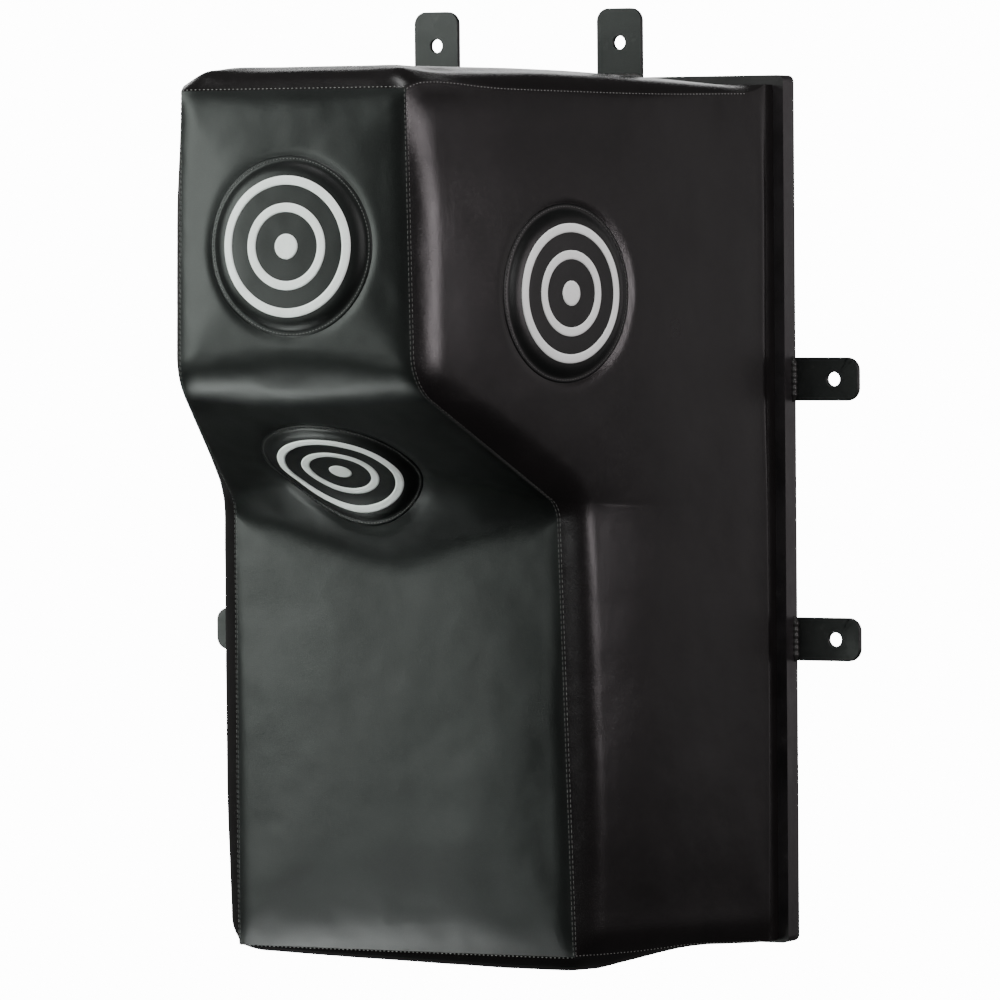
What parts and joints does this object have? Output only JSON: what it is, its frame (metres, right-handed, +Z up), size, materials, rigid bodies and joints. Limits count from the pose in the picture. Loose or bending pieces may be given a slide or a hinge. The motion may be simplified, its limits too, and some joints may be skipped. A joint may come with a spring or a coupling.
{
  "type": "wall-mounted uppercut striking pad",
  "caption": "Padded wall bag on a steel angle frame, with an overhanging upper face, a sloped underside for uppercuts and flat wall tabs.",
  "frame": {"origin": "midway between the four side tab holes, on the wall plane at the back of the tabs", "axes": "+Z up, -Y out of the wall towards the boxer, +X to the right of someone facing the wall"},
  "size_m": [0.67, 0.4848, 0.865],
  "materials": {
    "frame_steel": "satin",
    "tab_steel": "satin",
    "weld": "satin",
    "plywood": "matte",
    "zinc": "satin",
    "foam_core": "matte",
    "foam_face": "matte",
    "foam_soft": "matte",
    "vinyl_front": "satin",
    "vinyl_side": "satin",
    "patch_vinyl": "satin",
    "ring_vinyl": "satin"
  },
  "bodies": {
    "root": {"frame_left": "frame_steel", "frame_right": "frame_steel", "frame_top": "frame_steel", "frame_bottom": "frame_steel", "tab_top_left": "tab_steel", "tab_top_right": "tab_steel", "tab_left_upper": "tab_steel", "tab_left_lower": "tab_steel", "tab_right_upper": "tab_steel", "tab_right_lower": "tab_steel", "tab_welds": "weld", "backing_board": "plywood", "board_bolts": "zinc", "bolt_washers": "zinc", "tee_nuts": "zinc", "core_block": "foam_core", "overhang_block": "foam_core", "face_foam_upper": "foam_face", "face_foam_slope": "foam_face", "face_foam_lower": "foam_face", "side_foam_left": "foam_soft", "side_foam_right": "foam_soft", "top_foam": "foam_soft", "bottom_foam": "foam_soft", "cover_front": "vinyl_front", "cover_side_left": "vinyl_side", "cover_side_right": "vinyl_side", "cover_top": "vinyl_side", "cover_bottom": "vinyl_side", "flap_staples": "zinc", "patch_front": "patch_vinyl", "patch_slope": "patch_vinyl", "patch_left": "patch_vinyl", "patch_right": "patch_vinyl", "rings_front": "ring_vinyl", "rings_slope": "ring_vinyl", "rings_left": "ring_vinyl", "rings_right": "ring_vinyl"}
  },
  "joints": []
}
